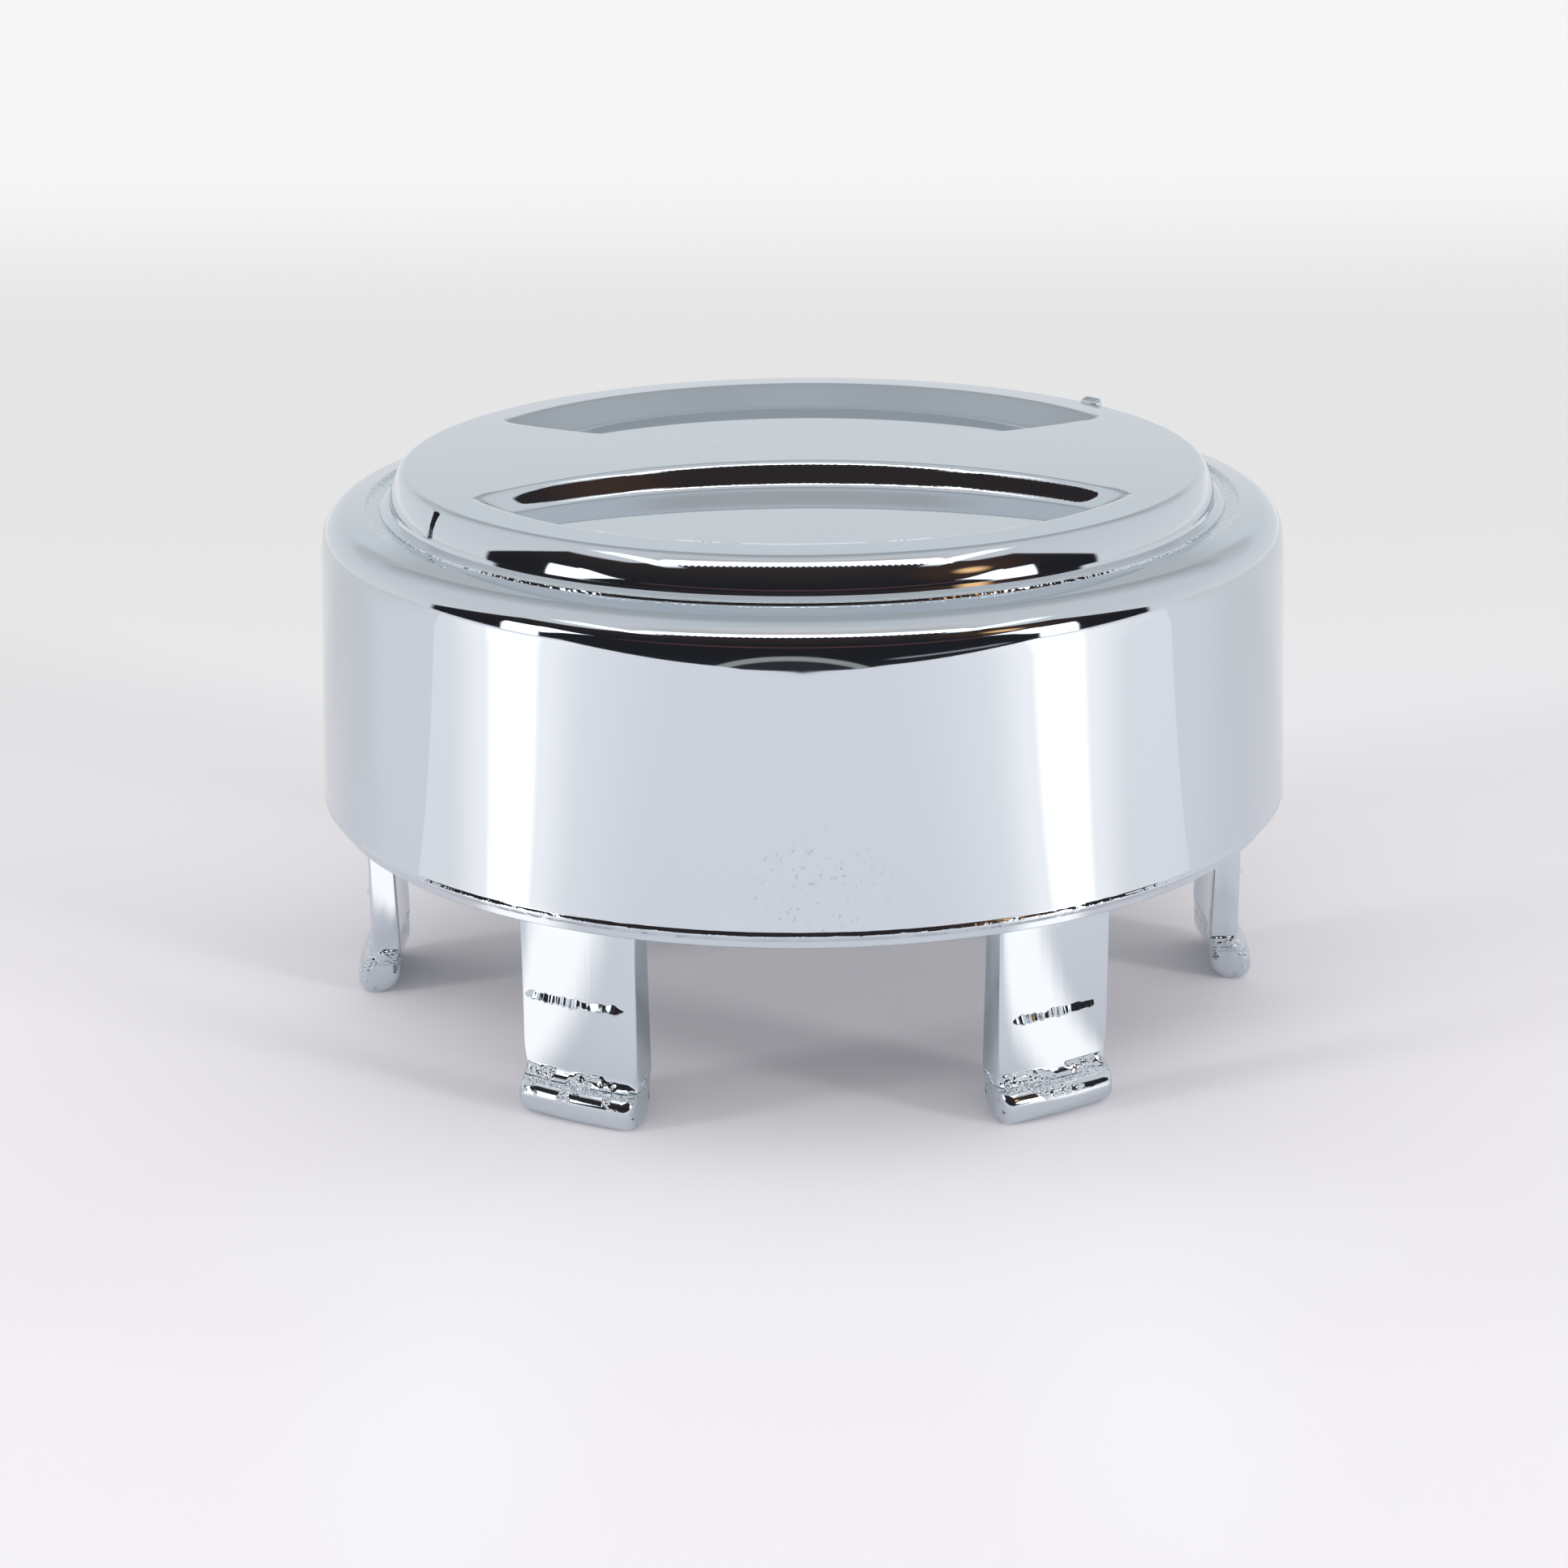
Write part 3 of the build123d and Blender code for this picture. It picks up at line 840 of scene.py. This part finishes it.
# The lamps and what they light are brighter than a hex colour can say, so theirs are linear.
LAMP_WHITE = (2.2, 2.25, 2.35, 1.0)
WARM_WHITE = (1.3, 0.75, 0.35, 1.0)
BEAM_WHITE = (1.55, 1.48, 1.42, 1.0)
WARM_LAMP = (47.0, 19.0, 0.0)        # its bearing and rise, in degrees, and how far it reaches
WARM_REACH = (7.0, 5.0, 1.0)

# The dark opening's two ends and where its top starts to run down to them, in degrees from
# straight ahead, and how far up that top is.
OPENING_LEFT, OPENING_RIGHT = -92.0, 84.0
RUN_DOWN_LEFT, RUN_DOWN_RIGHT, RUN_DOWN_SLOPE = -72.0, 64.0, 1.1
OPENING_TOP = (29.5, 32.0)
ROOM_UP = (4.0, 40.0)                # where the room behind it turns from grey to brown
THREAD_UP, THREAD_WIDE = (5.6, 6.2), 40.0        # a thin line of light across the room

# The tent's upright lamps, left and right: their side, their outer and inner edge and the tip of
# the thin blade of light inside them, in degrees from straight ahead.
TENT_LAMPS = ((-1, 71.0, 62.0, 48.0), (1, 64.0, 55.0, 41.0))
LAMP_LOW, LAMP_HIGH, BLADE_UP = -6.0, 12.0, 8.0

# The strips in the roof: how far aside and ahead each one runs, for each metre upward
STRIP_ASIDE, STRIP_AHEAD = (0.92, 1.08), (0.6, 1.1)


def glowing(name):
    """An empty material for what only glows: its light goes to the output by itself."""
    material = bpy.data.materials.new(name)
    material.use_nodes = True
    material.node_tree.nodes.clear()
    return material, material.node_tree


def wall_colours(tree, height, stops):
    """The colour of one wall of the tent, from its stops, at a height from level to straight up."""
    ramp = put(tree, "ValToRGB", (height,))
    ends = ramp.node.color_ramp.elements
    ends[0].position, ends[0].color = stops[0][0], linear(stops[0][1])
    ends[1].position, ends[1].color = stops[-1][0], linear(stops[-1][1])
    for place, colour in stops[1:-1]:
        ends.new(place).color = linear(colour)
    return ramp


def dark_opening(tree, bearing, rise, ahead):
    """Where the tent is open in front: under the bar, with ends that run down at both sides."""
    straight_top = put(tree, "Math", (ahead, BAR_LOW + 0.05), operation="LESS_THAN")
    past_left = put(tree, "Math", (RUN_DOWN_LEFT, bearing), operation="SUBTRACT")
    past_right = put(tree, "Math", (bearing, RUN_DOWN_RIGHT), operation="SUBTRACT")
    past = put(tree, "Math", (past_left, past_right), operation="MAXIMUM")
    past = put(tree, "Math", (past, 0.0), operation="MAXIMUM")
    lowered = put(tree, "Math", (past, RUN_DOWN_SLOPE, rise), operation="MULTIPLY_ADD")
    low_top = put(tree, "MapRange", (lowered, *OPENING_TOP, 1.0, 0.0), **SMOOTH)
    under_top = put(tree, "Math", (straight_top, low_top), operation="MAXIMUM")
    wide = band(tree, bearing, OPENING_LEFT, OPENING_RIGHT, 2.0)
    return put(tree, "Math", (wide, under_top), operation="MULTIPLY")


def lit_bar(tree, bearing, swing, ahead):
    """The row of small lights along the opening's top, which gives the bar a beaded lower edge."""
    beads = put(tree, "Math", (bearing, BEAD_RATE), operation="MULTIPLY")
    beads = put(tree, "Math", (beads,), operation="SINE")
    lower = put(tree, "Math", (beads, -BEAD_DEPTH, ahead), operation="MULTIPLY_ADD")
    lower = put(tree, "MapRange", (lower, BAR_LOW - 0.04, BAR_LOW), **SMOOTH)
    upper = put(tree, "MapRange", (ahead, BAR_HIGH, BAR_HIGH + 0.1, 1.0, 0.0), **SMOOTH)
    bar = put(tree, "Math", (lower, upper), operation="MULTIPLY")
    wide = band(tree, swing, -1.0, BAR_WIDE, 2.0)
    return put(tree, "Math", (bar, wide), operation="MULTIPLY")


def roof_strips(tree, sideways, forward, upward):
    """Two short strips of light in the tent's roof, one at each side."""
    upward = put(tree, "Math", (upward, 0.001), operation="MAXIMUM")
    across = put(tree, "Math", (sideways, upward), operation="DIVIDE")
    across = put(tree, "Math", (across,), operation="ABSOLUTE")
    along = put(tree, "Math", (forward, upward), operation="DIVIDE")
    return put(tree, "Math", (band(tree, across, *STRIP_ASIDE, 0.05),
                              band(tree, along, *STRIP_AHEAD, 0.3)), operation="MULTIPLY")


def tent_lamps(tree, bearing, rise):
    """The upright lamps' boxes low at both sides, each with a blade that tapers inwards."""
    off = put(tree, "Math", (rise, BLADE_UP), operation="SUBTRACT")
    off = put(tree, "Math", (off,), operation="ABSOLUTE")
    tall = band(tree, rise, LAMP_LOW, LAMP_HIGH, 2.0)
    lamps = 0.0
    for sign, outer, inner, tip in TENT_LAMPS:
        out_by = put(tree, "Math", (bearing, sign), operation="MULTIPLY")
        box = put(tree, "Math", (band(tree, out_by, inner, outer, 1.0), tall),
                  operation="MULTIPLY")
        thick = put(tree, "MapRange", (out_by, tip, inner, 0.0, 6.0), **SMOOTH)
        blade = put(tree, "Math", (off, thick), operation="SUBTRACT")
        blade = put(tree, "MapRange", (blade, 0.4, -0.4), **SMOOTH)
        blade = put(tree, "Math", (blade, band(tree, out_by, tip, inner, 0.5)),
                    operation="MULTIPLY")
        lamp = put(tree, "Math", (box, blade), operation="MAXIMUM")
        lamps = put(tree, "Math", (lamps, lamp), operation="MAXIMUM")
    return lamps


def light_tent():
    """The studio's light tent: pale walls, a dark opening in front with a lit bar along its top,
    upright lamps at its sides and a warm lamp in the room behind."""
    material, tree = glowing("light_tent")
    bearing, rise, (sideways, forward, upward) = direction(tree, TENT_CENTRE)
    swing = put(tree, "Math", (bearing,), operation="ABSOLUTE")
    height = put(tree, "Math", (rise, 90.0), operation="DIVIDE")
    ahead = put(tree, "Math", (forward, 0.001), operation="MAXIMUM")
    ahead = put(tree, "Math", (upward, ahead), operation="DIVIDE")

    at_back = put(tree, "MapRange", (swing, *SIDE_TO_BACK), **SMOOTH)
    at_front = put(tree, "MapRange", (swing, *SIDE_TO_FRONT), **SMOOTH)
    opening = dark_opening(tree, bearing, rise, ahead)
    room_top = put(tree, "MapRange", (rise, *ROOM_UP), **SMOOTH)
    room = laid_over(tree, linear("#26262A"), (room_top, linear("#3A3231")))
    white = put(tree, "Math", (lit_bar(tree, bearing, swing, ahead),
                               tent_lamps(tree, bearing, rise)), operation="ADD")
    white = put(tree, "Math", (white, roof_strips(tree, sideways, forward, upward)),
                operation="ADD")
    white = put(tree, "Math", (white, 1.0), operation="MINIMUM")

    warm = put(tree, "CombineXYZ", (bearing, rise))
    warm = out_from(tree, warm, WARM_LAMP, WARM_REACH)
    warm_halo = put(tree, "MapRange", (warm, 3.4, 0.8, 0.0, 0.15), **SMOOTH)
    warm_lamp = put(tree, "MapRange", (warm, 1.0, 0.2), **SMOOTH)
    thread = put(tree, "Math", (band(tree, rise, *THREAD_UP, 0.4),
                                band(tree, swing, -1.0, THREAD_WIDE, 6.0)), operation="MULTIPLY")
    thread = put(tree, "Math", (thread, 0.6), operation="MULTIPLY")

    look = laid_over(tree, wall_colours(tree, height, SIDE_WALLS),
                     (at_back, wall_colours(tree, height, BACK_WALL)),
                     (at_front, wall_colours(tree, height, FRONT_WALL)),
                     (opening, room),
                     (white, LAMP_WHITE),
                     (warm_halo, linear("#8A5A34")),
                     (warm_lamp, WARM_WHITE),
                     (thread, linear("#7A5450")))
    light = put(tree, "Emission", {"Color": look, "Strength": 1.0})
    put(tree, "OutputMaterial", {"Surface": light}, None)
    return material


def add_tent():
    """A dome round the cap, which only the plating sees."""
    bm = bmesh.new()
    bmesh.ops.create_uvsphere(bm, u_segments=96, v_segments=48, radius=TENT_RADIUS)
    bmesh.ops.translate(bm, verts=bm.verts, vec=TENT_CENTRE)
    mesh = bpy.data.meshes.new("light_tent")
    bm.to_mesh(mesh)
    bm.free()
    mesh.shade_smooth()
    show_to_plating_only(add_stage("light_tent", mesh, light_tent()))


# The beams that the upright lamps throw on the floor, left and right: their side and their inner
# and outer edge, in degrees from straight ahead, about a spot this far aside and ahead of the axis.
# Then their pools between the legs, about the axis: two edges and how softly they end.
FLOOR_BEAMS = ((-1, 63.5, 73.5), (1, 53.5, 63.5))
BEAM_ASIDE, BEAM_AHEAD = 0.031, 0.038
FLOOR_POOLS = ((-52.0, -44.0, 8.0), (37.5, 43.5, 6.0))


def shine_shape(tree):
    """Where the floor shines: two soft beams that the upright lamps throw on the vinyl, and their
    pools between the legs."""
    spot = put(tree, "NewGeometry", output="Position")
    sideways, back, _ = put(tree, "SeparateXYZ", (spot,), None)
    far = put(tree, "VectorMath", (spot,), "Value", operation="LENGTH")
    shine = 0.0
    for sign, inner, outer in FLOOR_BEAMS:
        out_by = put(tree, "Math", (sideways, sign, -BEAM_ASIDE), operation="MULTIPLY_ADD")
        forward = put(tree, "Math", (-BEAM_AHEAD, back), operation="SUBTRACT")
        bearing = bearing_of(tree, out_by, forward)
        beam = band(tree, bearing, inner, outer, 4.0)
        halo = band(tree, bearing, inner - 4.0, outer + 4.0, 14.0)
        haze = band(tree, bearing, inner - 10.0, outer + 28.0, 32.0)
        beam = put(tree, "Math", (halo, 0.35, beam), operation="MULTIPLY_ADD")
        beam = put(tree, "Math", (haze, 0.2, beam), operation="MULTIPLY_ADD")
        shine = put(tree, "Math", (shine, beam), operation="ADD")
    clear_of_cap = put(tree, "MapRange", (far, 0.088, 0.112), **SMOOTH)
    shine = put(tree, "Math", (shine, clear_of_cap), operation="MULTIPLY")

    forward = put(tree, "Math", (back, -1.0), operation="MULTIPLY")
    bearing = bearing_of(tree, sideways, forward)
    by_legs = put(tree, "MapRange", (far, 0.122, 0.095, 0.0, 0.85), **SMOOTH)
    for low, high, soft in FLOOR_POOLS:
        pool = band(tree, bearing, low, high, soft)
        shine = put(tree, "Math", (pool, by_legs, shine), operation="MULTIPLY_ADD")
    shine = put(tree, "Math", (shine, 1.0), operation="MINIMUM")
    outside = put(tree, "MapRange", (far, 0.049, 0.054), **SMOOTH)
    return put(tree, "Math", (shine, outside), operation="MULTIPLY")


def floor_shine():
    """Light on the floor that only the plating sees, clear where the floor doesn't shine."""
    material, tree = glowing("floor_shine")
    lit = put(tree, "Emission", {"Color": BEAM_WHITE, "Strength": 1.0})
    clear = put(tree, "BsdfTransparent")
    both = put(tree, "MixShader", (shine_shape(tree), clear, lit))
    put(tree, "OutputMaterial", {"Surface": both}, None)
    return material


# The pale arch and streak on the table, seen from the top of the cap's wall, in degrees
ARCH_MIDDLE, ARCH_HALF_WIDTH = -3.0, 19.0
ARCH_TOP, ARCH_DROP = -1.0, 9.0
STREAK_SLOPE, STREAK_LOW, STREAK_HIGH = 0.14, -8.3, -7.7
STREAK_LEFT, STREAK_RIGHT = 24.0, 44.0


def dark_table():
    """The dark table in front of the sweep, with the pale arch and streak seen on its far part."""
    material, tree = glowing("dark_table")
    bearing, rise, _ = direction(tree, WALL_FRONT)
    aside = put(tree, "Math", (bearing, ARCH_MIDDLE), operation="SUBTRACT")
    aside = put(tree, "Math", (aside, ARCH_HALF_WIDTH), operation="DIVIDE")
    aside = put(tree, "Math", (aside, aside), operation="MULTIPLY")
    arch_top = put(tree, "Math", (aside, -ARCH_DROP, ARCH_TOP), operation="MULTIPLY_ADD")
    under = put(tree, "Math", (arch_top, rise), operation="SUBTRACT")
    arch = band(tree, under, 0.8, 3.0, 1.2)
    inside = put(tree, "MapRange", (under, 3.0, 5.0), **SMOOTH)
    streak = put(tree, "Math", (bearing, -STREAK_SLOPE, rise), operation="MULTIPLY_ADD")
    streak = band(tree, streak, STREAK_LOW, STREAK_HIGH, 0.5)
    streak_run = band(tree, bearing, STREAK_LEFT, STREAK_RIGHT, 6.0)
    streak = put(tree, "Math", (streak, streak_run), operation="MULTIPLY")
    far_part = put(tree, "MapRange", (rise, -10.0, -2.0), **SMOOTH)
    look = laid_over(tree, linear("#2B2C31"),
                     (far_part, linear("#26262A")),
                     (inside, linear("#34363C")),
                     (arch, linear("#A2A3A0")),
                     (streak, linear("#9A9CA0")))
    light = put(tree, "Emission", {"Color": look, "Strength": 1.0})
    put(tree, "OutputMaterial", {"Surface": light}, None)
    return material


add_tent()
SHINE_HEIGHT, TABLE_HEIGHT = 0.0008, 0.0016      # just over the floor, so that no two cards meet
SHINE_CORNERS = [(-1.2, -0.9), (1.2, -0.9), (1.2, -0.02), (-1.2, -0.02)]
show_to_plating_only(card("floor_shine", SHINE_CORNERS, SHINE_HEIGHT, floor_shine()))
TABLE_EDGE = [(0.06, -0.275), (0.093, -0.304), (0.17, -0.343), (0.485, -0.533), (2.4, -1.6)]
table_corners = [(-x, y) for x, y in TABLE_EDGE[::-1]] + [(0.0, -0.263)] + TABLE_EDGE
table_corners += [(2.4, -2.4), (-2.4, -2.4)]
show_to_plating_only(card("dark_table", table_corners, TABLE_HEIGHT, dark_table()))


# Light
world = bpy.data.worlds.new("studio")
bpy.context.scene.world = world
world.use_nodes = True
sky = world.node_tree
sky.nodes.clear()
path = put(sky, "LightPath", output=None)
seen = put(sky, "Math", (path["Is Glossy Ray"], path["Is Transmission Ray"]), operation="MAXIMUM")
seen = put(sky, "Math", (seen, path["Is Camera Ray"]), operation="MAXIMUM")
upward = put(sky, "SeparateXYZ", (put(sky, "TexCoord", output="Generated"),), "Z")
WALL_TOP = (0.26, 0.50)      # where the walls' light fades into the roof's, as sines of the rise
walls = put(sky, "MapRange", (upward, *WALL_TOP, 1.0, 0.0), **SMOOTH)
ROOF_LIGHT = (0.725, 0.725, 0.728, 1.0)
WALL_LIGHT = (1.55, 1.55, 1.55, 1.0)
sky_colour = laid_over(sky, ROOF_LIGHT, (walls, WALL_LIGHT), (seen, linear("#E8E8E9")))
background = put(sky, "Background", {"Color": sky_colour, "Strength": 1.0})
put(sky, "OutputWorld", {"Surface": background}, None)


LAMP_SOFTNESS = 12.0     # how wide a lamp looks from the cap, and how high it is, in degrees
LAMP_RISE = 9.0


def upright_lamp(name, bearing, strength):
    """One of the tent's two upright lamps, low at the side, which throw the legs' shadows."""
    lamp = bpy.data.lights.new(name, "SUN")
    lamp.energy = strength
    lamp.angle = math.radians(LAMP_SOFTNESS)
    obj = bpy.data.objects.new(name, lamp)
    bpy.context.scene.collection.objects.link(obj)
    a, rise = math.radians(bearing), math.radians(LAMP_RISE)
    toward = Vector((math.sin(a) * math.cos(rise), -math.cos(a) * math.cos(rise), math.sin(rise)))
    obj.rotation_euler = toward.to_track_quat("Z", "Y").to_euler()
    obj.visible_glossy = False


upright_lamp("left_lamp", -67.0, 1.5)
upright_lamp("right_lamp", 59.0, 1.7)

bpy.context.scene.view_settings.view_transform = "Standard"
